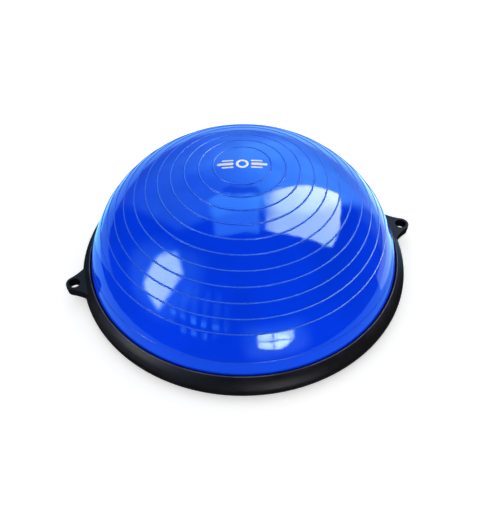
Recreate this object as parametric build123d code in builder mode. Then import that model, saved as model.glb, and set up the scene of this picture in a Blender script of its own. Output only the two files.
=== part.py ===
"""Balance dome trainer: a half ball of inflated PVC held on a round plastic base.

The origin is on the floor under the crown, +Z points up through the crown, and the two
band lugs lie on the X axis. All lengths are in millimetres.
"""

from build123d import *
from math import asin, atan2, cos, degrees, hypot, radians, sin
import os

# Dome: its outer surface is part of an ellipsoid of revolution
DOME_RADIUS = 284.6
DOME_RISE = 244.0
DOME_CENTRE_Z = 6.0
CROWN_ANGLE = 84.0
WALL = 3.0
TUCK_Z = 44.0
TUCK_FOOT_R = 278.0
TUCK_FOOT_Z = 36.0

# Raised rings moulded on the dome, spaced along its surface from the crown
FIRST_RING = 49.0
RING_STEP = 25.15
EVEN_RINGS = 11
LAST_RING = 352.5
RING_SECTION = 1.1
RING_SINK = 0.2

# Bead round the dome's foot, gripped between rim ring and platform
BEAD_INNER = 276.5
BEAD_OUTER = 282.3
BEAD_BOTTOM = 28.6
BEAD_TOP = 34.4
FLOOR_TOP = BEAD_BOTTOM + WALL

# Filling valve in the middle of the bladder's floor
VALVE_BORE = 4.0
VALVE_TUBE = 8.0
VALVE_TOP = 50.0
VALVE_PAD = 22.0
VALVE_PAD_TOP = 34.0
VALVE_SEAT = 9.0
VALVE_SEAT_Z = 30.6

# Stopper in the valve, with a grooved head for the puller
PLUG_SHANK = 3.95
PLUG_SHANK_TOP = 49.0
PLUG_TIP_ROUND = 1.5
PLUG_HEAD = 8.2
PLUG_HEAD_TOP = 30.4
PLUG_HEAD_BOTTOM = 27.0
PLUG_NECK = 6.4
PLUG_NECK_BOTTOM = 28.1
PLUG_NECK_TOP = 29.3

# Rim ring: the rounded edge that holds the dome down
RIM_CENTRE_R = 280.6
RIM_CENTRE_Z = 19.0
RIM_ROUND = 19.4
SHOULDER_ANGLE = 20.0
LIP_OUTER = (285.4, 44.4)
LIP_CREST = (284.6, 45.0)
LIP_INNER = (283.6, 44.2)
LIP_ROOT = (279.5, 34.7)
RIM_INNER = 283.0
RIM_BOTTOM = 8.0

# Platform: a flat plate with a wall and ribs that carry the dome's floor
PLATE_BOTTOM = 2.5
PLATE_TOP = 6.0
FLANGE_TOP = 7.8
PLATFORM_TOP = 28.3
WALL_INNER = 279.0
WALL_OUTER = 282.7
RIB = 2.6
RIB_CIRCLES = (256.0, 210.0, 160.0, 110.0, 62.0)
RADIAL_RIBS = 24
FIRST_RIB_ANGLE = 7.5
WELL_RADIUS = 15.0
WELL_WALL = 3.0
WELL_TOP = 26.5
RIB_LENGTH = WALL_OUTER - WELL_RADIUS - WELL_WALL
RIB_MIDDLE = (WALL_OUTER + WELL_RADIUS) / 2
TREAD_CIRCLES = (260.0, 185.0, 85.0)
TREAD_WIDTH = 3.0
TREAD_DEPTH = 0.8

# Band lugs on the X axis, each with an eye outside and a tongue inside
LUG_BOTTOM = 17.0
LUG_STEP_Z = 26.0
LUG_TOP = 35.0
LUG_STEP = 1.2
LUG_EDGE = 1.2
EYE_X = 314.5
EYE_RADIUS = 10.5
TIP_RADIUS = 15.5
TIP_ANGLE = 65.0
FLARE_END = (290.0, 37.5)
ROOT_X = 284.0
TONGUE_INNER = 262.0
TONGUE_OUTER = 300.0
TONGUE_HALF = 28.0
TONGUE_BOTTOM = 20.0
TONGUE_TOP = 28.0
TONGUE_GAP = 0.15
TONGUE_MIDDLE = (TONGUE_INNER + TONGUE_OUTER) / 2
TONGUE_LENGTH = TONGUE_OUTER - TONGUE_INNER

# Pan-head tapping screws, driven from below
SCREW_SHANK = 1.85
SCREW_HEAD = 3.9
SCREW_HEAD_BOTTOM = 3.0
SCREW_SEAT = 5.4
HEAD_POCKET = 4.3
SHANK_HOLE = 2.2
PILOT_HOLE = 1.9
PILOT_SPARE = 1.0
HEAD_ROUND = 0.8
TIP_CHAMFER = 0.7
RECESS_LENGTH = 4.2
RECESS_WIDTH = 1.0
RECESS_DEPTH = 1.4
RIM_SCREWS = 16
RIM_SCREW_CIRCLE = 287.0
RIM_SCREW_TOP = 23.0
LUG_SCREW_X = 270.0
LUG_SCREW_Y = 17.0
LUG_SCREW_TOP = 26.5
LUG_BOSS = 6.5
LUG_BOSS_TOP = 19.8

# Rubber feet, each held by a stud pushed through the plate
FOOT_RADIUS = 18.0
FOOT_POCKET = 1.2
FOOT_EDGE = 0.8
FOOT_GROOVE = 12.0
FOOT_GROOVE_WIDTH = 1.5
FOOT_GROOVE_DEPTH = 0.6
STUD_RADIUS = 3.8
STUD_BARB = 5.2
STUD_TIP = 3.0
STUD_TOP = 9.0
OUTER_FEET = 8
OUTER_FEET_CIRCLE = 234.0
INNER_FEET = 4
INNER_FEET_CIRCLE = 135.0
INNER_FEET_ANGLE = 45.0

GAP = 0.1
FULL_TURN = 360.0


def polar(radius, angle):
    """Position at a radius and an angle in degrees from the first axis."""
    return radius * cos(radians(angle)), radius * sin(radians(angle))


def circle_places(radius, count, start):
    """Positions spread evenly round a circle."""
    return [polar(radius, start + FULL_TURN * n / count) for n in range(count)]


def tuck_angle(inset):
    """Angle of the tuck on an ellipse drawn `inset` inside the dome's surface."""
    return degrees(asin((TUCK_Z - DOME_CENTRE_Z) / (DOME_RISE - inset)))


def ring_place(length):
    """Centre (r, z) of a raised ring's section, `length` along the dome from its crown."""
    step = radians(0.02)
    angle = 0.0
    covered = 0.0
    while covered < length:
        covered += step * hypot(DOME_RADIUS * cos(angle), DOME_RISE * sin(angle))
        angle += step
    radius = (DOME_RADIUS - RING_SINK) * sin(angle)
    height = (DOME_RISE - RING_SINK) * cos(angle)
    return radius, DOME_CENTRE_Z + height


def dome_outline(inset):
    """Lines of the dome's section, `inset` inside its surface: ellipse, then round crown."""
    across = DOME_RADIUS - inset
    up = DOME_RISE - inset
    foot_angle = tuck_angle(inset)
    side = EllipticalCenterArc(
        (0, DOME_CENTRE_Z),
        across,
        up,
        start_angle=foot_angle,
        arc_size=CROWN_ANGLE - foot_angle,
    )
    edge = side @ 1
    drop = (edge.Y - DOME_CENTRE_Z) * (across / up) ** 2
    slope = degrees(atan2(drop, edge.X))
    crown = CenterArc((0, edge.Y - drop), hypot(edge.X, drop), slope, 90 - slope)
    return side, crown


def rim_point(angle):
    """Point (r, z) on the rim's outer round, at an angle above its widest place."""
    across, up = polar(RIM_ROUND, angle)
    return RIM_CENTRE_R + across, RIM_CENTRE_Z + up


def rim_angle(z):
    """Angle on the rim's outer round at height z."""
    return degrees(asin((z - RIM_CENTRE_Z) / RIM_ROUND))


def rim_outline():
    """Lines of the rim ring's outside, from its bottom edge up over the lip."""
    start = rim_angle(RIM_BOTTOM)
    CenterArc((RIM_CENTRE_R, RIM_CENTRE_Z), RIM_ROUND, start, SHOULDER_ANGLE - start)
    TangentArc(
        rim_point(SHOULDER_ANGLE),
        LIP_OUTER,
        tangent=polar(1.0, SHOULDER_ANGLE + 90),
    )
    ThreePointArc(LIP_OUTER, LIP_CREST, LIP_INNER)


def lug_outline(inset):
    """Lines of a lug's plan, drawn `inset` smaller: round tip, hollow flares and root."""
    across, along = polar(TIP_RADIUS - inset, TIP_ANGLE)
    flare_end = (FLARE_END[0], FLARE_END[1] - inset)
    CenterArc((EYE_X, 0), TIP_RADIUS - inset, 0, TIP_ANGLE)
    TangentArc(
        (EYE_X + across, along),
        flare_end,
        tangent=polar(1.0, TIP_ANGLE + 90),
    )
    Polyline(flare_end, (ROOT_X, flare_end[1]), (ROOT_X, 0))
    mirror(about=Plane.XZ)


RING_LENGTHS = [FIRST_RING + RING_STEP * n for n in range(EVEN_RINGS)] + [LAST_RING]
RING_PLACES = [ring_place(length) for length in RING_LENGTHS]
FEET_PLACES = circle_places(OUTER_FEET_CIRCLE, OUTER_FEET, 0)
FEET_PLACES += circle_places(INNER_FEET_CIRCLE, INNER_FEET, INNER_FEET_ANGLE)
RIM_SCREW_PLACES = circle_places(
    RIM_SCREW_CIRCLE, RIM_SCREWS, FULL_TURN / RIM_SCREWS / 2
)
LUG_SCREW_PLACES = [
    (side * LUG_SCREW_X, along * LUG_SCREW_Y) for side in (-1, 1) for along in (-1, 1)
]

os.makedirs("parts", exist_ok=True)


# Bladder: the hollow dome with its raised rings, bead, flat floor and valve
with BuildPart() as bladder:
    with BuildSketch(Plane.XZ):
        with BuildLine():
            outer_side, outer_crown = dome_outline(0)
            inner_side, inner_crown = dome_outline(WALL)
            Line(outer_crown @ 1, inner_crown @ 1)
            foot = (TUCK_FOOT_R, TUCK_FOOT_Z)
            TangentArc(outer_side @ 0, foot, tangent=-(outer_side % 0))
            Polyline(
                foot,
                (BEAD_INNER, BEAD_TOP),
                (BEAD_OUTER, BEAD_TOP),
                (BEAD_OUTER, BEAD_BOTTOM),
                (VALVE_SEAT, BEAD_BOTTOM),
                (VALVE_SEAT, VALVE_SEAT_Z),
                (VALVE_BORE, VALVE_SEAT_Z),
                (VALVE_BORE, VALVE_TOP),
                (VALVE_TUBE, VALVE_TOP),
                (VALVE_TUBE, VALVE_PAD_TOP),
                (VALVE_PAD, VALVE_PAD_TOP),
                (VALVE_PAD, FLOOR_TOP),
                (BEAD_INNER - WALL, FLOOR_TOP),
                (TUCK_FOOT_R - WALL, TUCK_FOOT_Z),
                inner_side @ 0,
            )
        make_face()
        with Locations(*RING_PLACES):
            Circle(RING_SECTION)
    revolve(axis=Axis.Z)
bladder.part.label = "bladder"
export_step(bladder.part, "parts/bladder.step")


# Valve plug: a straight shank and a grooved head
with BuildPart() as valve_plug:
    with BuildSketch(Plane.XZ):
        with BuildLine():
            Polyline(
                (0, PLUG_HEAD_BOTTOM),
                (PLUG_HEAD, PLUG_HEAD_BOTTOM),
                (PLUG_HEAD, PLUG_NECK_BOTTOM),
                (PLUG_NECK, PLUG_NECK_BOTTOM),
                (PLUG_NECK, PLUG_NECK_TOP),
                (PLUG_HEAD, PLUG_NECK_TOP),
                (PLUG_HEAD, PLUG_HEAD_TOP),
                (PLUG_SHANK, PLUG_HEAD_TOP),
                (PLUG_SHANK, PLUG_SHANK_TOP),
                (0, PLUG_SHANK_TOP),
                close=True,
            )
        make_face()
    revolve(axis=Axis.Z)
    fillet(valve_plug.faces().sort_by(Axis.Z)[-1].edges(), PLUG_TIP_ROUND)
valve_plug.part.label = "valve_plug"
export_step(valve_plug.part, "parts/valve_plug.step")


# Rim ring: the rounded edge, with a window for each lug and a pilot hole for each screw
with BuildPart() as rim_ring:
    with BuildSketch(Plane.XZ):
        with BuildLine():
            rim_outline()
            Polyline(
                LIP_INNER,
                LIP_ROOT,
                (RIM_INNER, LIP_ROOT[1]),
                (RIM_INNER, RIM_BOTTOM),
                rim_point(rim_angle(RIM_BOTTOM)),
            )
        make_face()
    revolve(axis=Axis.Z)
    with BuildSketch(Plane.XY.offset(TONGUE_BOTTOM - TONGUE_GAP)):
        Rectangle(2 * TONGUE_OUTER, 2 * (TONGUE_HALF + TONGUE_GAP))
    extrude(amount=TONGUE_TOP - TONGUE_BOTTOM + 2 * TONGUE_GAP, mode=Mode.SUBTRACT)
    with BuildSketch(Plane.XY.offset(RIM_BOTTOM)):
        with Locations(*RIM_SCREW_PLACES):
            Circle(PILOT_HOLE)
    extrude(amount=RIM_SCREW_TOP + PILOT_SPARE - RIM_BOTTOM, mode=Mode.SUBTRACT)
rim_ring.part.label = "rim_ring"
export_step(rim_ring.part, "parts/rim_ring.step")


# Platform: plate, rounded flange, wall, ribs, bosses and the well below the valve
with BuildPart() as platform:
    with BuildSketch(Plane.XZ):
        with BuildLine():
            low = rim_angle(PLATE_BOTTOM)
            high = rim_angle(FLANGE_TOP)
            CenterArc((RIM_CENTRE_R, RIM_CENTRE_Z), RIM_ROUND, low, high - low)
            Polyline(
                rim_point(high),
                (WALL_INNER, FLANGE_TOP),
                (WALL_INNER, PLATE_TOP),
                (WELL_RADIUS, PLATE_TOP),
                (WELL_RADIUS, PLATE_BOTTOM),
                rim_point(low),
            )
        make_face()
    revolve(axis=Axis.Z)
    with BuildSketch(Plane.XY.offset(PLATE_TOP)):
        Circle(WALL_OUTER)
        Circle(WALL_INNER, mode=Mode.SUBTRACT)
        for radius in RIB_CIRCLES:
            Circle(radius + RIB / 2)
            Circle(radius - RIB / 2, mode=Mode.SUBTRACT)
        with PolarLocations(RIB_MIDDLE, RADIAL_RIBS, start_angle=FIRST_RIB_ANGLE):
            Rectangle(RIB_LENGTH, RIB)
    extrude(amount=PLATFORM_TOP - PLATE_TOP)
    with BuildSketch(Plane.XY.offset(PLATE_TOP)):
        Circle(WELL_RADIUS + WELL_WALL)
        Circle(WELL_RADIUS, mode=Mode.SUBTRACT)
    extrude(amount=WELL_TOP - PLATE_TOP)
    with BuildSketch(Plane.XY.offset(LUG_BOSS_TOP)):
        with Locations((TONGUE_MIDDLE, 0), (-TONGUE_MIDDLE, 0)):
            Rectangle(TONGUE_LENGTH + 2 * TONGUE_GAP, 2 * (TONGUE_HALF + TONGUE_GAP))
    extrude(amount=PLATFORM_TOP - LUG_BOSS_TOP, mode=Mode.SUBTRACT)
    with BuildSketch(Plane.XY.offset(PLATE_TOP)):
        with Locations(*LUG_SCREW_PLACES):
            Circle(LUG_BOSS)
    extrude(amount=LUG_BOSS_TOP - PLATE_TOP)
    with BuildSketch(Plane.XY.offset(PLATE_BOTTOM)):
        with Locations(*FEET_PLACES):
            Circle(FOOT_RADIUS + GAP)
    extrude(amount=FOOT_POCKET, mode=Mode.SUBTRACT)
    with BuildSketch(Plane.XY.offset(PLATE_BOTTOM)):
        with Locations(*FEET_PLACES):
            Circle(STUD_RADIUS + GAP)
    extrude(amount=PLATE_TOP - PLATE_BOTTOM, mode=Mode.SUBTRACT)
    with BuildSketch(Plane.XY.offset(PLATE_BOTTOM)):
        with Locations(*RIM_SCREW_PLACES, *LUG_SCREW_PLACES):
            Circle(HEAD_POCKET)
    extrude(amount=SCREW_SEAT - PLATE_BOTTOM, mode=Mode.SUBTRACT)
    with BuildSketch(Plane.XY.offset(SCREW_SEAT)):
        with Locations(*RIM_SCREW_PLACES, *LUG_SCREW_PLACES):
            Circle(SHANK_HOLE)
    extrude(amount=LUG_BOSS_TOP - SCREW_SEAT, mode=Mode.SUBTRACT)
    with BuildSketch(Plane.XY.offset(PLATE_BOTTOM)):
        for radius in TREAD_CIRCLES:
            Circle(radius + TREAD_WIDTH / 2)
            Circle(radius - TREAD_WIDTH / 2, mode=Mode.SUBTRACT)
    extrude(amount=TREAD_DEPTH, mode=Mode.SUBTRACT)
platform.part.label = "platform"
export_step(platform.part, "parts/platform.step")


# Band lugs: a stepped eye that fits the rim's round, and a tongue through its window
for label, side in (("left_band_lug", -1), ("right_band_lug", 1)):
    with BuildPart() as band_lug:
        with BuildSketch(Plane((0, 0, LUG_STEP_Z), x_dir=(side, 0, 0))):
            with BuildLine():
                lug_outline(0)
            make_face()
        extrude(amount=LUG_TOP - LUG_STEP_Z)
        with BuildSketch(Plane((0, 0, LUG_BOTTOM), x_dir=(side, 0, 0))):
            with BuildLine():
                lug_outline(LUG_STEP)
            make_face()
        extrude(amount=LUG_STEP_Z - LUG_BOTTOM)
        with BuildSketch(Plane((0, 0, LUG_BOTTOM), x_dir=(side, 0, 0))):
            with Locations((EYE_X, 0)):
                Circle(EYE_RADIUS)
        extrude(amount=LUG_TOP - LUG_BOTTOM, mode=Mode.SUBTRACT)
        fillet(band_lug.faces().sort_by(Axis.Z)[-1].outer_wire().edges(), LUG_EDGE)
        with BuildSketch(Plane.XZ):
            with BuildLine():
                rim_outline()
                Polyline(
                    LIP_INNER,
                    (0, LIP_INNER[1]),
                    (0, RIM_BOTTOM),
                    rim_point(rim_angle(RIM_BOTTOM)),
                )
            make_face()
        revolve(axis=Axis.Z, mode=Mode.SUBTRACT)
        with BuildSketch(Plane((0, 0, TONGUE_BOTTOM), x_dir=(side, 0, 0))):
            with Locations((TONGUE_MIDDLE, 0)):
                Rectangle(TONGUE_LENGTH, 2 * TONGUE_HALF)
        extrude(amount=TONGUE_TOP - TONGUE_BOTTOM)
        with BuildSketch(Plane((0, 0, TONGUE_BOTTOM), x_dir=(side, 0, 0))):
            with Locations((LUG_SCREW_X, LUG_SCREW_Y), (LUG_SCREW_X, -LUG_SCREW_Y)):
                Circle(PILOT_HOLE)
        extrude(amount=LUG_SCREW_TOP + PILOT_SPARE - TONGUE_BOTTOM, mode=Mode.SUBTRACT)
    band_lug.part.label = label
    export_step(band_lug.part, f"parts/{label}.step")


# Screws: two sets that differ only in place and length, with a cross recess
for label, places, top in (
    ("rim_screws", RIM_SCREW_PLACES, RIM_SCREW_TOP),
    ("lug_screws", LUG_SCREW_PLACES, LUG_SCREW_TOP),
):
    with BuildPart() as screws:
        with BuildSketch(Plane.XY.offset(SCREW_HEAD_BOTTOM)):
            with Locations(*places):
                Circle(SCREW_HEAD)
        extrude(amount=SCREW_SEAT - SCREW_HEAD_BOTTOM)
        fillet(screws.faces().group_by(Axis.Z)[0].edges(), HEAD_ROUND)
        with BuildSketch(Plane.XY.offset(SCREW_SEAT)):
            with Locations(*places):
                Circle(SCREW_SHANK)
        extrude(amount=top - SCREW_SEAT)
        chamfer(screws.faces().group_by(Axis.Z)[-1].edges(), TIP_CHAMFER)
        with BuildSketch(Plane.XY.offset(SCREW_HEAD_BOTTOM)):
            with Locations(*places):
                Rectangle(RECESS_LENGTH, RECESS_WIDTH)
                Rectangle(RECESS_WIDTH, RECESS_LENGTH)
        extrude(amount=RECESS_DEPTH, mode=Mode.SUBTRACT)
    screws.part.label = label
    export_step(screws.part, f"parts/{label}.step")


# Feet: round rubber pads with a grooved tread and a barbed stud
for number, (x, y) in enumerate(FEET_PLACES, 1):
    foot_top = PLATE_BOTTOM + FOOT_POCKET
    with BuildPart() as foot:
        with BuildSketch(Plane((x, y, 0), x_dir=(1, 0, 0), z_dir=(0, -1, 0))):
            with BuildLine():
                Polyline(
                    (0, 0),
                    (FOOT_GROOVE, 0),
                    (FOOT_GROOVE, FOOT_GROOVE_DEPTH),
                    (FOOT_GROOVE + FOOT_GROOVE_WIDTH, FOOT_GROOVE_DEPTH),
                    (FOOT_GROOVE + FOOT_GROOVE_WIDTH, 0),
                    (FOOT_RADIUS - FOOT_EDGE, 0),
                    (FOOT_RADIUS, FOOT_EDGE),
                    (FOOT_RADIUS, foot_top),
                    (STUD_RADIUS, foot_top),
                    (STUD_RADIUS, PLATE_TOP),
                    (STUD_BARB, PLATE_TOP),
                    (STUD_TIP, STUD_TOP),
                    (0, STUD_TOP),
                    close=True,
                )
            make_face()
        revolve(axis=Axis((x, y, 0), (0, 0, 1)))
    foot.part.label = f"foot_{number}"
    export_step(foot.part, f"parts/foot_{number}.step")
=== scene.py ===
"""Looks of the balance dome trainer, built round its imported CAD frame. Metres, +Z up."""
from math import asin, atan2, cos, hypot, pi, radians, sin, sqrt

import bmesh
import bpy
from mathutils import Matrix, Vector


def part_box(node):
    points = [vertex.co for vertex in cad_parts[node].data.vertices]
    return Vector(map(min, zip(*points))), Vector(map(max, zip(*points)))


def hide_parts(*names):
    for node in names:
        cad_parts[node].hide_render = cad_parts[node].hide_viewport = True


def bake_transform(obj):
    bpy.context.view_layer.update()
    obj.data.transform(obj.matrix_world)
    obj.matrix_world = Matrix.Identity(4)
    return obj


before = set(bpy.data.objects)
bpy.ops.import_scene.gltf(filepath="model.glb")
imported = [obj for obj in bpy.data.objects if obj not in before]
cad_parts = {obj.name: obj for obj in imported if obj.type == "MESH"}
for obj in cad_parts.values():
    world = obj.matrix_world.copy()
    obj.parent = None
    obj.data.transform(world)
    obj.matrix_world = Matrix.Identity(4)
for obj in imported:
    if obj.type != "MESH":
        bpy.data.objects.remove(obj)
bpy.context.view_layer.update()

scene = bpy.context.scene
scene.view_settings.view_transform = "Standard"

# ---------------------------------------------------------------- camera
AIM = Vector((0.0, 0.0, 0.045))
CAMERA_AZIMUTH = -13.2
CAMERA_ELEVATION = 46.36
CAMERA_DISTANCE = 1.3867
CAMERA_ROLL = -0.64
LENS = 52.23
SENSOR_WIDTH = 36.0
SHIFT_X = -0.00625
SHIFT_Y = -0.0148
CLIP_START = 0.01
CLIP_END = 60.0


def outward(azimuth, elevation):
    """Unit vector towards that azimuth and elevation; azimuth 0 is the front, towards -Y."""
    a, e = radians(azimuth), radians(elevation)
    return Vector((sin(a) * cos(e), -cos(a) * cos(e), sin(e)))


def facing(back, roll):
    """Rotation of a camera whose local +Z is back."""
    right = Vector((0, 0, 1)).cross(back).normalized()
    up = back.cross(right)
    turn = radians(roll)
    across = right * cos(turn) + up * sin(turn)
    return Matrix((across, back.cross(across), back)).transposed()


camera = bpy.data.objects.new("camera", bpy.data.cameras.new("camera"))
scene.collection.objects.link(camera)
bpy.context.scene.camera = camera
camera.data.sensor_width = SENSOR_WIDTH
camera.data.lens = LENS
camera.data.shift_x = SHIFT_X
camera.data.shift_y = SHIFT_Y
camera.data.clip_start = CLIP_START
camera.data.clip_end = CLIP_END
back = outward(CAMERA_AZIMUTH, CAMERA_ELEVATION)
stand = Matrix.Translation(AIM + back * CAMERA_DISTANCE)
camera.matrix_world = stand @ facing(back, CAMERA_ROLL).to_4x4()


# ---------------------------------------------------------------- node trees
def opaque(color):
    return (*color, 1.0)


class Graph:
    """Short calls for building a node tree."""

    def __init__(self, tree):
        self.tree = tree
        tree.nodes.clear()

    def add(self, kind, **values):
        node = self.tree.nodes.new(kind)
        for key, value in values.items():
            setattr(node, key, value)
        return node

    def link(self, source, target):
        self.tree.links.new(source, target)

    def put(self, target, value):
        """Link a socket to target, or set target to a plain value."""
        if hasattr(value, "is_linked"):
            self.link(value, target)
        else:
            target.default_value = value

    def math(self, operation, *values):
        node = self.add("ShaderNodeMath", operation=operation)
        for socket, value in zip(node.inputs, values):
            self.put(socket, value)
        return node.outputs[0]

    def times(self, *values):
        total = values[0]
        for value in values[1:]:
            total = self.math("MULTIPLY", total, value)
        return total

    def plus(self, *values):
        total = values[0]
        for value in values[1:]:
            total = self.math("ADD", total, value)
        return total

    def dot(self, place, axis):
        node = self.add("ShaderNodeVectorMath", operation="DOT_PRODUCT")
        self.link(place, node.inputs[0])
        node.inputs[1].default_value = tuple(axis)
        return node.outputs["Value"]

    def height(self, place):
        node = self.add("ShaderNodeSeparateXYZ")
        self.link(place, node.inputs[0])
        return node.outputs["Z"]

    def band(self, value, low, high, to_low=0.0, to_high=1.0):
        """A smooth step from to_low to to_high as value goes from low to high."""
        node = self.add("ShaderNodeMapRange", interpolation_type="SMOOTHSTEP")
        for socket, entry in zip(node.inputs, (value, low, high, to_low, to_high)):
            self.put(socket, entry)
        return node.outputs[0]

    def noise(self, place, scale, detail=2.0, roughness=0.5, distortion=0.0):
        node = self.add("ShaderNodeTexNoise")
        self.link(place, node.inputs["Vector"])
        node.inputs["Scale"].default_value = scale
        node.inputs["Detail"].default_value = detail
        node.inputs["Roughness"].default_value = roughness
        node.inputs["Distortion"].default_value = distortion
        return node.outputs["Fac"]

    def stretched(self, place, scale, rotation=(0.0, 0.0, 0.0)):
        node = self.add("ShaderNodeMapping")
        node.inputs["Scale"].default_value = scale
        node.inputs["Rotation"].default_value = rotation
        self.link(place, node.inputs["Vector"])
        return node.outputs[0]

    def mix(self, factor, first, second):
        """A mix of two colours."""
        node = self.add("ShaderNodeMix", data_type="RGBA")
        self.put(node.inputs[0], factor)
        self.put(node.inputs[6], first)
        self.put(node.inputs[7], second)
        return node.outputs[2]

    def choose(self, factor, first, second):
        """A mix of two numbers."""
        node = self.add("ShaderNodeMix", data_type="FLOAT")
        self.put(node.inputs[0], factor)
        self.put(node.inputs[2], first)
        self.put(node.inputs[3], second)
        return node.outputs[0]

    def bump(self, height, distance, strength, normal=None):
        node = self.add("ShaderNodeBump")
        self.link(height, node.inputs["Height"])
        node.inputs["Distance"].default_value = distance
        node.inputs["Strength"].default_value = strength
        if normal is not None:
            self.link(normal, node.inputs["Normal"])
        return node.outputs["Normal"]


# ---------------------------------------------------------------- surroundings
# What the glossy parts mirror is a room with windows, given by direction. A shape is its
# level, its corners as azimuth and elevation, and the softness of its sides in turn.
COOL = (0.30, 0.92, 1.65)
HAZE = (0.50, 0.95, 1.40)
PALE = (1.08, 1.0, 0.72)
WHITE = (1.0, 1.0, 1.0)
AMBIENT = 0.80
DARKEST = 0.02
BACKDROP_LOW = 1.0
BACKDROP_HIGH = 0.70

ROOM_LOW = 0.35
ROOM_HIGH = 2.45
DRIFT_AXIS = (0.95, 0.3, 0.0)
WALL_PLANES = ((0.742, 0.527, 0.414), (-0.430, 0.870, 0.240), (0.1, 0.975, -0.2))
WALL_SOFT = 0.05
SHADE = (0.6, ((-174, 58), (150, 59), (145, 63), (166, 66), (-171, 62)), (0.015,))

RIGHT_CORNERS = ((137, 60), (127, 40), (118, 19), (104, 24), (77, 32), (73, 56), (70, 76))
RIGHT_WINDOW = (11.5, RIGHT_CORNERS, (0.02, 0.02, 0.02, 0.02, 0.02, 0.02, 0.12))
MIDDLE_CORNERS = ((-154, 60), (-172, 63), (143, 64), (57, 78), (-86, 72))
MIDDLE_WINDOW = (2.7, MIDDLE_CORNERS, (0.02, 0.02, 0.02, 0.02, 0.05))
WINDOW_POST = (0.8, ((142, 66), (130, 67), (62, 76), (54, 79)), (0.025,))
LEFT_WINDOW = (11.5, ((-98, 33), (-92, 46), (-71, 41), (-69, 22), (-72, 6), (-90, 11)), (0.05,))
LEFT_HALO = (1.1, ((-112, 14), (-108, 38), (-66, 56), (-48, 30), (-66, 0), (-93, 0)), (0.14,))
HORIZON = (0.3, ((108, 8), (126, 6), (122, -16), (104, -16)), (0.06,))

FRONT_CORNERS = ((-4, 7.5), (18.5, 4.5), (18, -4), (9, -9.5), (-4.5, -6))
FRONT_WINDOW = (22.0, FRONT_CORNERS, (0.012, 0.03, 0.03, 0.012, 0.012))
FRONT_GLOW = (1.2, ((-12, 14), (26, 10), (26, -16), (-10, -14)), (0.12,))
LATTICE_RATE = 180.0

# Each glazing bar runs through two directions and is twice the last number wide
GLAZING_BARS = (
    ((4.5, 20), (6.5, -20), 0.003),
    ((-5, 1), (18, -3.5), 0.005),
    ((15.5, 20), (16, -20), 0.003),
)
BAR_SOFT = 0.006

BLINDS = (1.6, ((-70, 9), (-52, 16), (-25, 13), (-33, 1), (-54, -1)), (0.04,))
DRAPES = (0.55, ((-66, 8), (-60, 36), (-28, 38), (-22, 10)), (0.08,))
BLINDS_AXIS = outward(43, 10)
COLUMN_RATE = 50.0
ROW_RATE = 34.0


class Sky(Graph):
    """The world's node tree, with shapes where the dome's middle would see them."""

    def __init__(self, tree):
        super().__init__(tree)
        self.direction = self.add("ShaderNodeTexCoord").outputs["Generated"]
        self.z = self.height(self.direction)

    def along(self, axis):
        return self.dot(self.direction, axis)

    def side(self, normal, soft):
        """1 on the side of a plane through the middle that its normal points to, and 0 on the other."""
        return self.band(self.along(normal), -soft, soft)

    def pane(self, level, corners, softness):
        """A shape of that level with soft sides, and 0 outside it. Its corners go round it either way."""
        points = [outward(*corner) for corner in corners]
        middle = sum(points, Vector())
        shape = level
        for k, (first, second) in enumerate(zip(points, points[1:] + points[:1])):
            normal = first.cross(second).normalized()
            if normal.dot(middle) < 0:
                normal = -normal
            shape = self.times(shape, self.side(normal, softness[k % len(softness)]))
        return shape

    def without(self, shape):
        return self.math("SUBTRACT", 1.0, self.pane(*shape))

    def bar(self, first, second, half):
        """0 along a glazing bar that runs through two directions, and 1 beside it."""
        normal = outward(*first).cross(outward(*second)).normalized()
        away = self.math("ABSOLUTE", self.along(normal))
        return self.band(away, half, half + BAR_SOFT)

    def stripes(self, value, rate):
        return self.math("SINE", self.times(value, rate))

    def clouds(self, scale, detail, low, high):
        return self.band(self.noise(self.direction, scale, detail), 0.3, 0.7, low, high)


def room_level(sky):
    """The bare room, brighter upwards and to the right, and dark in front of the dome."""
    wall = sky.times(*(sky.side(normal, WALL_SOFT) for normal in WALL_PLANES))
    drift = sky.band(sky.along(DRIFT_AXIS), -0.1, 1.0, 0.55, 2.4)
    cloud = sky.clouds(scale=2.6, detail=3.0, low=0.75, high=1.2)
    rise = sky.band(sky.z, -0.1, 0.75, ROOM_LOW, ROOM_HIGH)
    return sky.times(wall, sky.without(SHADE), drift, cloud, rise)


def front_level(sky):
    """The small front window, with glazing bars and a fine lattice."""
    bars = [sky.bar(*bar) for bar in GLAZING_BARS]
    lattice = sky.band(sky.stripes(sky.along(outward(90, 0)), LATTICE_RATE), -1.0, 0.0, 0.6, 1.0)
    cloud = sky.clouds(scale=9.0, detail=2.0, low=0.6, high=1.1)
    return sky.times(sky.pane(*FRONT_WINDOW), *bars, lattice, cloud)


def blinds_level(sky):
    """Slatted blinds low on the left, with drapes above them."""
    columns = sky.stripes(sky.along(BLINDS_AXIS), COLUMN_RATE)
    rows = sky.stripes(sky.z, ROW_RATE)
    patches = sky.band(sky.noise(sky.direction, scale=8.0, detail=1.0), 0.35, 0.6, 0.4, 1.6)
    slats = (sky.band(columns, -0.5, 0.4), sky.band(rows, -0.6, 0.2))
    blinds = sky.times(sky.pane(*BLINDS), *slats, patches)
    drapes = sky.times(sky.pane(*DRAPES), sky.band(columns, -0.9, 0.9))
    return sky.plus(blinds, drapes)


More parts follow.
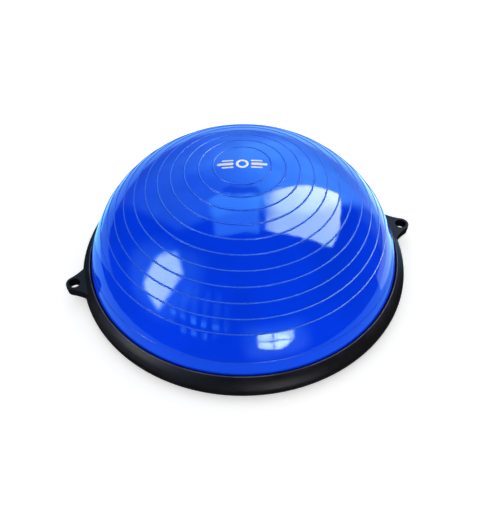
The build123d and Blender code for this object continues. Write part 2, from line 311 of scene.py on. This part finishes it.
def build_world():
    """Mirrored rays see the room, a camera sees a graded backdrop, and other rays a soft white."""
    world = bpy.data.worlds.new("studio")
    scene.world = world
    world.use_nodes = True
    sky = Sky(world.node_tree)
    post = sky.without(WINDOW_POST)
    middle = sky.times(sky.pane(*MIDDLE_WINDOW), post)
    right = sky.times(sky.pane(*RIGHT_WINDOW), post)
    windows = sky.plus(right, sky.pane(*LEFT_WINDOW), front_level(sky))
    glows = [sky.pane(*shape) for shape in (LEFT_HALO, FRONT_GLOW, HORIZON)]
    level = sky.plus(room_level(sky), middle, blinds_level(sky), *glows, windows, DARKEST)

    path = sky.add("ShaderNodeLightPath").outputs
    mirrored = path["Is Glossy Ray"]
    air = sky.mix(sky.band(sky.z, -0.15, 0.05), opaque(HAZE), opaque(COOL))
    hue = sky.mix(sky.band(windows, 0.5, 8.0), air, opaque(PALE))
    backdrop = sky.band(sky.z, -0.015, 0.02, BACKDROP_LOW, BACKDROP_HIGH)
    lit = sky.choose(mirrored, AMBIENT, level)
    background = sky.add("ShaderNodeBackground")
    sky.link(sky.mix(mirrored, opaque(WHITE), hue), background.inputs["Color"])
    sky.link(sky.choose(path["Is Camera Ray"], lit, backdrop), background.inputs["Strength"])
    output = sky.add("ShaderNodeOutputWorld")
    sky.link(background.outputs[0], output.inputs["Surface"])


# The paper that the object stands on, as only the dome mirrors it: its name, outline, middle,
# width, depth, radiance and colour
PAPERS = (
    ("near_paper", "DISK", (0.0, 0.0, 0.0005), 0.93, 0.93, 0.58, COOL),
    ("far_paper", "RECTANGLE", (0.05, 0.9, 0.0003), 1.7, 1.5, 0.6, COOL),
    ("lit_paper", "RECTANGLE", (0.47, 0.05, 0.0007), 0.24, 0.46, 1.0, (0.75, 1.0, 1.1)),
)
papers = bpy.data.collections.new("mirrors_paper")


def add_paper(name, shape, middle, wide, deep, radiance, color):
    """A flat lamp that shines upwards, and that only mirrored rays see."""
    light = bpy.data.lights.new(name, "AREA")
    light.shape = shape
    light.size = wide
    light.size_y = deep
    light.energy = radiance * wide * deep * pi
    light.color = color
    paper = bpy.data.objects.new(name, light)
    scene.collection.objects.link(paper)
    paper.matrix_world = Matrix.Translation(middle) @ Matrix.Rotation(pi, 4, "X")
    paper.visible_diffuse = False
    paper.visible_camera = False
    paper.light_linking.receiver_collection = papers


for paper_row in PAPERS:
    add_paper(*paper_row)
build_world()

# ---------------------------------------------------------------- materials
BLUE = (0.0003, 0.046, 0.88)
RUBBED_BLUE = (0.02, 0.20, 0.95)
BLUE_SHEEN = (0.60, 0.98, 1.0)
BLACK = (0.0080, 0.0072, 0.0088)
BLACK_SHEEN = (0.72, 0.76, 1.0)
LUG_SHEEN = (1.0, 0.60, 0.48)
# Painted highlight along the rim's thin lip
LIP_HIGHLIGHT_GREY = (0.16, 0.16, 0.17)
LIP_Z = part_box("rim_ring")[1].z

# Name, colour, roughness, scale and depth of the grain, change of colour at scuffs, gloss and its colour
MOULDED = (
    ("black_lug", BLACK, 0.42, 1100.0, 0.45, 0.03, 0.10, LUG_SHEEN),
    ("black_platform", (0.017, 0.0165, 0.018), 0.55, 900.0, 0.6, 0.08, 0.3, BLACK_SHEEN),
    ("white_stopper", (0.78, 0.77, 0.73), 0.38, 1200.0, 0.2, 0.02, 0.5, WHITE),
    ("foot_rubber", (0.028, 0.028, 0.028), 0.78, 700.0, 0.8, 0.07, 0.5, WHITE),
    ("white_print", (0.94, 0.96, 0.97), 0.32, 1600.0, 0.12, -0.05, 0.5, WHITE),
)
RIM_LOOK = ("black_rim", BLACK, 0.38, 1400.0, 0.35, 0.03, 0.14, BLACK_SHEEN)


def finish(name, color, roughness, metallic=0.0, specular=0.5, sheen=WHITE):
    """A material with its graph, Principled shader and object coordinates."""
    material = bpy.data.materials.new(name)
    material.use_nodes = True
    graph = Graph(material.node_tree)
    shader = graph.add("ShaderNodeBsdfPrincipled")
    shader.inputs["Base Color"].default_value = opaque(color)
    shader.inputs["Roughness"].default_value = roughness
    shader.inputs["Metallic"].default_value = metallic
    shader.inputs["Specular IOR Level"].default_value = specular
    shader.inputs["Specular Tint"].default_value = opaque(sheen)
    target = graph.add("ShaderNodeOutputMaterial")
    graph.link(shader.outputs[0], target.inputs["Surface"])
    place = graph.add("ShaderNodeTexCoord").outputs["Object"]
    return material, graph, shader, place


def tint(color, gain):
    return opaque([min(c * gain, 1.0) for c in color])


def vinyl():
    """Glossy blue PVC: soft cloudiness, a little orange peel, worn rings, painted shade at the foot of
    each ring and a mould seam.
    """
    material, graph, shader, place = finish("blue_vinyl", BLUE, 0.10, sheen=BLUE_SHEEN)
    cloud = graph.noise(place, scale=9.0, detail=3.0)
    smear = graph.noise(place, scale=55.0, detail=4.0, roughness=0.6, distortion=1.2)
    ring = graph.add("ShaderNodeAttribute", attribute_name="ring").outputs["Fac"]
    crease_shade = graph.add("ShaderNodeAttribute", attribute_name="crease_shade").outputs["Fac"]
    worn = graph.times(ring, graph.band(smear, 0.4, 0.7, 0.6, 1.0))

    color = graph.mix(graph.band(cloud, 0.35, 0.65), tint(BLUE, 0.93), tint(BLUE, 1.05))
    color = graph.mix(graph.times(worn, 0.55), color, opaque(RUBBED_BLUE))
    # Painted shade: darker blue at the foot of each ring
    color = graph.mix(graph.times(crease_shade, 0.8), color, tint(BLUE, 0.25))
    graph.link(color, shader.inputs["Base Color"])

    plain = graph.band(smear, 0.3, 0.75, 0.045, 0.085)
    rough = graph.plus(plain, graph.times(worn, 0.40), graph.times(crease_shade, 0.35))
    graph.link(rough, shader.inputs["Roughness"])

    off_seam = graph.math("ABSOLUTE", graph.dot(place, outward(90 + CAMERA_AZIMUTH, 0)))
    seam = graph.band(off_seam, 0.0011, 0.0002)
    wave = graph.noise(place, scale=38.0, detail=1.0)
    peel = graph.noise(place, scale=420.0)
    normal = graph.bump(seam, distance=0.0001, strength=0.25)
    normal = graph.bump(wave, distance=0.004, strength=0.05, normal=normal)
    normal = graph.bump(peel, distance=0.0004, strength=0.045, normal=normal)
    graph.link(normal, shader.inputs["Normal"])
    return material


def moulded(name, color, roughness, grain, depth, scuff, specular, sheen):
    """Moulded plastic or print with a fine grain, uneven gloss and scuffs."""
    material, graph, shader, place = finish(name, color, roughness, specular=specular, sheen=sheen)
    cloud = graph.noise(place, scale=14.0, detail=4.0, roughness=0.6)
    streaks = graph.stretched(place, scale=(1.0, 6.0, 3.0), rotation=(0.3, 0.2, 0.9))
    scratch = graph.band(graph.noise(streaks, scale=60.0, detail=6.0, roughness=0.7), 0.64, 0.74)

    plain = graph.mix(graph.band(cloud, 0.3, 0.7), tint(color, 0.8), tint(color, 1.2))
    scuffed = opaque([c + scuff for c in color])
    graph.link(graph.mix(graph.times(scratch, 0.5), plain, scuffed), shader.inputs["Base Color"])

    rough = graph.band(cloud, 0.3, 0.7, roughness - 0.05, roughness + 0.06)
    graph.link(graph.plus(rough, graph.times(scratch, 0.12)), shader.inputs["Roughness"])

    fine = graph.noise(place, scale=grain)
    graph.link(graph.bump(fine, distance=0.0003, strength=depth), shader.inputs["Normal"])
    return material, graph, shader, place


def moulded_rim():
    """The rim ring's plastic, with a painted highlight: paler in patches along its thin lip."""
    material, graph, shader, place = moulded(*RIM_LOOK)
    lip = graph.band(graph.height(place), LIP_Z - 0.0012, LIP_Z - 0.0002)
    patches = graph.band(graph.noise(place, scale=30.0, detail=3.0), 0.3, 0.6, 0.4, 1.0)
    # Painted highlight: the lip paler in patches
    lip_highlight = graph.times(lip, patches, 0.6)
    plain = shader.inputs["Base Color"].links[0].from_socket
    graph.link(graph.mix(lip_highlight, plain, opaque(LIP_HIGHLIGHT_GREY)), shader.inputs["Base Color"])
    return material


def brushed_steel():
    """Plated steel with fine brushed lines."""
    material, graph, shader, place = finish("screw_steel", (0.56, 0.56, 0.58), 0.32, metallic=1.0)
    brush = graph.noise(graph.stretched(place, scale=(1.0, 12.0, 1.0)), scale=900.0, detail=3.0)
    color = graph.mix(brush, opaque((0.42, 0.42, 0.44)), opaque((0.66, 0.66, 0.68)))
    graph.link(color, shader.inputs["Base Color"])
    graph.link(graph.band(brush, 0.3, 0.7, 0.24, 0.42), shader.inputs["Roughness"])
    graph.link(graph.bump(brush, distance=0.00008, strength=0.4), shader.inputs["Normal"])
    return material


looks = {"blue_vinyl": vinyl(), "black_rim": moulded_rim(), "screw_steel": brushed_steel()}
for look in MOULDED:
    looks[look[0]] = moulded(*look)[0]
slot_of = {
    "rim_ring": "black_rim",
    "platform": "black_platform",
    "left_band_lug": "black_lug",
    "right_band_lug": "black_lug",
    "valve_plug": "white_stopper",
    "rim_screws": "screw_steel",
    "lug_screws": "screw_steel",
}
for name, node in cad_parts.items():
    if name.startswith("foot_"):
        slot_of[name] = "foot_rubber"
    if name in slot_of:
        node.data.materials.clear()
        node.data.materials.append(looks[slot_of[name]])

# ---------------------------------------------------------------- dome skin
DOME_RADIUS = 0.2846
DOME_RISE = 0.2440
DOME_CENTRE_Z = 0.0060
FOOT_Z = 0.0450
WALL = 0.0030

# Raised rings, by their distance along the skin from the crown
FIRST_RING = 0.0490
RING_STEP = 0.02515
EVEN_RINGS = 11
LAST_RING = 0.3525
RING_HEIGHT = 0.0009
RING_HALF_WIDTH = 0.0014
LAST_RING_SHARE = 0.4
# Place and half width of the painted shade at the foot of each ring
CREASE_SHADE_PLACE = RING_HALF_WIDTH * 0.9
CREASE_SHADE_HALF_WIDTH = RING_HALF_WIDTH * 0.45

# How finely the skin is divided
TURNS = 288
OUTLINE_STEPS = 1600
INNER_STEPS = 40
PLAIN_STEP = 0.0042
RING_STOPS = 8
RING_REACH = RING_HALF_WIDTH * 1.4
PLAIN_GAP = RING_HALF_WIDTH * 2

# Edges that turn by more than this many degrees are shaded sharp
SHARP_ANGLE = 50

# Below the skin's foot: the bead, the floor and the filling valve
BEAD_INNER = 0.2765
BEAD_OUTER = 0.2823
BEAD_TOP = 0.0344
FLOOR_EDGE = 0.2700
FLOOR_UNDER = 0.0286
FLOOR_OVER = 0.0316
VALVE_RECESS = 0.0090
VALVE_RECESS_TOP = 0.0306
VALVE_BORE = 0.0040
VALVE_TUBE = 0.0080
VALVE_TOP = 0.0500
VALVE_PAD = 0.0220
VALVE_PAD_TOP = 0.0340

# Rows of the inner skin lie outside this radius and above this height
INNER_CROWN_RADIUS = 0.002
INNER_FOOT_Z = 0.0385

# A slow unevenness of the blown skin. Each wave has its count round the dome, its rate down
# the dome, its start and its share
UNEVENNESS = 0.00014
WAVES = ((3, 9.0, 0.0, 1.0), (5, -21.0, 1.3, 0.7), (8, 34.0, 0.0, 0.5))
CROWN_FADE = 0.12
FOOT_FADE = 0.05

rings = [FIRST_RING + RING_STEP * n for n in range(EVEN_RINGS)] + [LAST_RING]


def ellipse_by_length():
    """Points of the dome's outline at even steps of angle from the crown, with the length so far."""
    foot = asin((FOOT_Z - DOME_CENTRE_Z) / DOME_RISE)
    row = []
    length = 0.0
    for k in range(OUTLINE_STEPS + 1):
        angle = pi / 2 + (foot - pi / 2) * k / OUTLINE_STEPS
        point = (DOME_RADIUS * cos(angle), DOME_CENTRE_Z + DOME_RISE * sin(angle))
        if row:
            length += hypot(point[0] - row[-1][1], point[1] - row[-1][2])
        row.append((length, *point))
    return row


outline = ellipse_by_length()
OUTLINE_LENGTH = outline[-1][0]


def at_length(length):
    """Point and outward normal of the smooth dome at that length from the crown."""
    low, high = 0, len(outline) - 1
    while high - low > 1:
        middle = (low + high) // 2
        if outline[middle][0] <= length:
            low = middle
        else:
            high = middle
    a, b = outline[low], outline[high]
    part = (length - a[0]) / (b[0] - a[0])
    r, z = a[1] + (b[1] - a[1]) * part, a[2] + (b[2] - a[2]) * part
    nr, nz = r / DOME_RADIUS**2, (z - DOME_CENTRE_Z) / DOME_RISE**2
    size = hypot(nr, nz)
    return r, z, nr / size, nz / size


def ring_rise(length):
    """How far a moulded ring stands out there, as a share of its height."""
    nearest = min(rings, key=lambda place: abs(length - place))
    away = abs(length - nearest)
    if away >= RING_HALF_WIDTH:
        return 0.0
    share = LAST_RING_SHARE if nearest == LAST_RING else 1.0
    return share * (0.5 + 0.5 * cos(pi * away / RING_HALF_WIDTH))


def crease_shade_depth(length):
    """Strongest at the foot of each ring: painted shade there, where the moulded edge is also duller."""
    away = min(abs(length - place) for place in rings) - CREASE_SHADE_PLACE
    return max(0.0, 1.0 - abs(away) / CREASE_SHADE_HALF_WIDTH)


def undulation(length, turn):
    """How far the blown skin stands out there, which bends the reflections a little."""
    fade = min(length / CROWN_FADE, 1.0) * min((OUTLINE_LENGTH - length) / FOOT_FADE, 1.0)
    wave = sum(share * sin(count * turn + rate * length + start) for count, rate, start, share in WAVES)
    return UNEVENNESS * fade * wave


def skin_stops():
    """Stops along the outline: fine over each ring, wider between them."""
    stops = {0.0, OUTLINE_LENGTH}
    for place in rings:
        for k in range(-RING_STOPS, RING_STOPS + 1):
            stops.add(place + RING_REACH * k / RING_STOPS)
    for k in range(1, int(OUTLINE_LENGTH / PLAIN_STEP) + 1):
        if min(abs(k * PLAIN_STEP - place) for place in rings) > PLAIN_GAP:
            stops.add(k * PLAIN_STEP)
    return sorted(stop for stop in stops if stop <= OUTLINE_LENGTH)


# Radius and height, from the skin's foot in under the rim, round the bead, along the floor's
# underside, up the valve and back over the floor to the inside of the foot
TUCK = (
    (0.2809, 0.0440),
    (0.2800, 0.0410),
    (0.2780, 0.0360),
    (BEAD_INNER, BEAD_TOP),
    (BEAD_OUTER, BEAD_TOP),
    (BEAD_OUTER, FLOOR_UNDER),
    (FLOOR_EDGE, FLOOR_UNDER),
    (0.1500, FLOOR_UNDER),
    (0.0300, FLOOR_UNDER),
    (VALVE_RECESS, FLOOR_UNDER),
    (VALVE_RECESS, VALVE_RECESS_TOP),
    (VALVE_BORE, VALVE_RECESS_TOP),
    (VALVE_BORE, VALVE_TOP),
    (VALVE_TUBE, VALVE_TOP),
    (VALVE_TUBE, VALVE_PAD_TOP),
    (VALVE_PAD, VALVE_PAD_TOP),
    (VALVE_PAD, FLOOR_OVER),
    (FLOOR_EDGE, FLOOR_OVER),
    (BEAD_INNER, 0.0380),
)


def inner_outline():
    """The inside of the skin, from its foot up to the crown."""
    points = []
    for k in range(INNER_STEPS, 0, -1):
        r, z, nr, nz = at_length(OUTLINE_LENGTH * k / INNER_STEPS)
        r, z = r - nr * WALL, z - nz * WALL
        if r > INNER_CROWN_RADIUS and z > INNER_FOOT_Z:
            points.append((r, z))
    return points


def outer_rows(mesh, turns):
    """Rows of points down the outside, each with how much ring it has and how much painted shade at the
    ring's foot.
    """
    ring_layer = mesh.verts.layers.float.new("ring")
    crease_shade_layer = mesh.verts.layers.float.new("crease_shade")
    rows = []
    for length in skin_stops()[1:]:
        r, z, nr, nz = at_length(length)
        rise = ring_rise(length)
        crease_shade = crease_shade_depth(length)
        row = []
        for turn in turns:
            out = RING_HEIGHT * rise + undulation(length, turn)
            vert = mesh.verts.new(((r + nr * out) * cos(turn), (r + nr * out) * sin(turn), z + nz * out))
            vert[ring_layer] = rise
            vert[crease_shade_layer] = crease_shade
            row.append(vert)
        rows.append(row)
    return rows


def dome_mesh():
    """The whole bladder as one closed skin, outside and inside."""
    mesh = bmesh.new()
    turns = [2 * pi * k / TURNS for k in range(TURNS)]
    rows = outer_rows(mesh, turns)
    for r, z in (*TUCK, *inner_outline()):
        rows.append([mesh.verts.new((r * cos(turn), r * sin(turn), z)) for turn in turns])
    for first, second in zip(rows, rows[1:]):
        for k in range(TURNS):
            after = (k + 1) % TURNS
            mesh.faces.new((first[k], second[k], second[after], first[after]))
    crown_z = outline[0][2]
    crown = mesh.verts.new((0, 0, crown_z))
    for k in range(TURNS):
        mesh.faces.new((crown, rows[0][k], rows[0][(k + 1) % TURNS]))
    inner_crown = mesh.verts.new((0, 0, crown_z - WALL))
    for k in range(TURNS):
        mesh.faces.new((inner_crown, rows[-1][(k + 1) % TURNS], rows[-1][k]))
    bmesh.ops.recalc_face_normals(mesh, faces=mesh.faces)
    return mesh


def add_piece(name, mesh, material):
    data = bpy.data.meshes.new(name)
    mesh.to_mesh(data)
    mesh.free()
    for polygon in data.polygons:
        polygon.use_smooth = True
    data.materials.append(material)
    piece = bpy.data.objects.new(name, data)
    scene.collection.objects.link(piece)
    return piece


skin = add_piece("dome_skin", dome_mesh(), looks["blue_vinyl"])
skin.data.set_sharp_from_angle(angle=radians(SHARP_ANGLE))
papers.objects.link(skin)
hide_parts("bladder")
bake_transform(skin)

# ---------------------------------------------------------------- crown mark
MARK_HALF = 0.0425
MARK_RING = 0.0108
MARK_RING_WIDTH = 0.0044
MARK_GAP = 0.0035
MARK_PROUD = 0.00012
MARK_THICKNESS = 0.0004
HOOP_STEPS = 48
BAR_CUTS = 20
BAR_TIP = 0.0002

# Each bar's place beside the middle line, its width, and how much shorter it is than the longest
MARK_BARS = ((0.0, 0.0062, 0.0), (0.0085, 0.0034, 0.008), (-0.0085, 0.0034, 0.008))


def dome_height(x, y):
    """Height of the skin over that place near the crown."""
    r = hypot(x, y)
    length = next(row[0] for row in outline if row[1] >= r)
    return at_length(length)[1] + undulation(length, atan2(y, x))


def mark_spot(mesh, u, v):
    """A point just over the crown, with u to the camera's right and v away from the camera."""
    turn = radians(CAMERA_AZIMUTH)
    x, y = u * cos(turn) - v * sin(turn), u * sin(turn) + v * cos(turn)
    return mesh.verts.new((x, y, dome_height(x, y) + MARK_PROUD))


def hoop_rows(mesh):
    rows = []
    for k in range(HOOP_STEPS):
        angle = 2 * pi * k / HOOP_STEPS
        radii = (MARK_RING - MARK_RING_WIDTH, MARK_RING)
        rows.append([mark_spot(mesh, r * cos(angle), r * sin(angle)) for r in radii])
    return rows + rows[:1]


def bar_rows(mesh, way, offset, width, short):
    """A bar with round ends, to the left of the hoop where way is -1 and to its right where it is 1."""
    start, end = MARK_RING + MARK_GAP, MARK_HALF - short
    rows = []
    for k in range(BAR_CUTS + 1):
        u = start + (end - start) * k / BAR_CUTS
        from_end = min(max(min(u - start, end - u) / (width / 2), 0.0), 1.0)
        half = max(width / 2 * sqrt(1 - (1 - from_end) ** 2), BAR_TIP)
        rows.append([mark_spot(mesh, way * u, offset - half), mark_spot(mesh, way * u, offset + half)])
    return rows


def mark_mesh():
    """A plain balance sign: a small ring between two groups of bars, laid on the crown."""
    mesh = bmesh.new()
    strips = [hoop_rows(mesh)]
    strips += [bar_rows(mesh, way, *bar) for way in (-1, 1) for bar in MARK_BARS]
    for rows in strips:
        for first, second in zip(rows, rows[1:]):
            mesh.faces.new((first[0], second[0], second[1], first[1]))
    bmesh.ops.recalc_face_normals(mesh, faces=mesh.faces)
    for face in mesh.faces:
        if face.normal.z < 0:
            face.normal_flip()
    return mesh


mark = add_piece("crown_mark", mark_mesh(), looks["white_print"])
body = mark.modifiers.new("thickness", "SOLIDIFY")
body.thickness = MARK_THICKNESS
body.offset = -1.0
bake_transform(mark)

# ---------------------------------------------------------------- floor
GROUND_HALF = 6.0
GROUND_CUTS = 8
GROUND_GLOW = 0.42


def pale_floor():
    """Matt pale paper that glows a little, so that it stays near white."""
    material, graph, shader, place = finish("pale_floor", (0.86, 0.86, 0.86), 0.75, specular=0.2)
    cloud = graph.noise(place, scale=1.7)
    color = graph.mix(cloud, opaque((0.85, 0.85, 0.85)), opaque((0.88, 0.88, 0.88)))
    graph.link(color, shader.inputs["Base Color"])
    grain = graph.noise(place, scale=320.0)
    graph.link(graph.bump(grain, distance=0.0002, strength=0.1), shader.inputs["Normal"])
    shader.inputs["Emission Color"].default_value = opaque(WHITE)
    shader.inputs["Emission Strength"].default_value = GROUND_GLOW
    return material


ground = bmesh.new()
bmesh.ops.create_grid(ground, x_segments=GROUND_CUTS, y_segments=GROUND_CUTS, size=GROUND_HALF)
floor = add_piece("floor", ground, pale_floor())
floor.visible_glossy = False
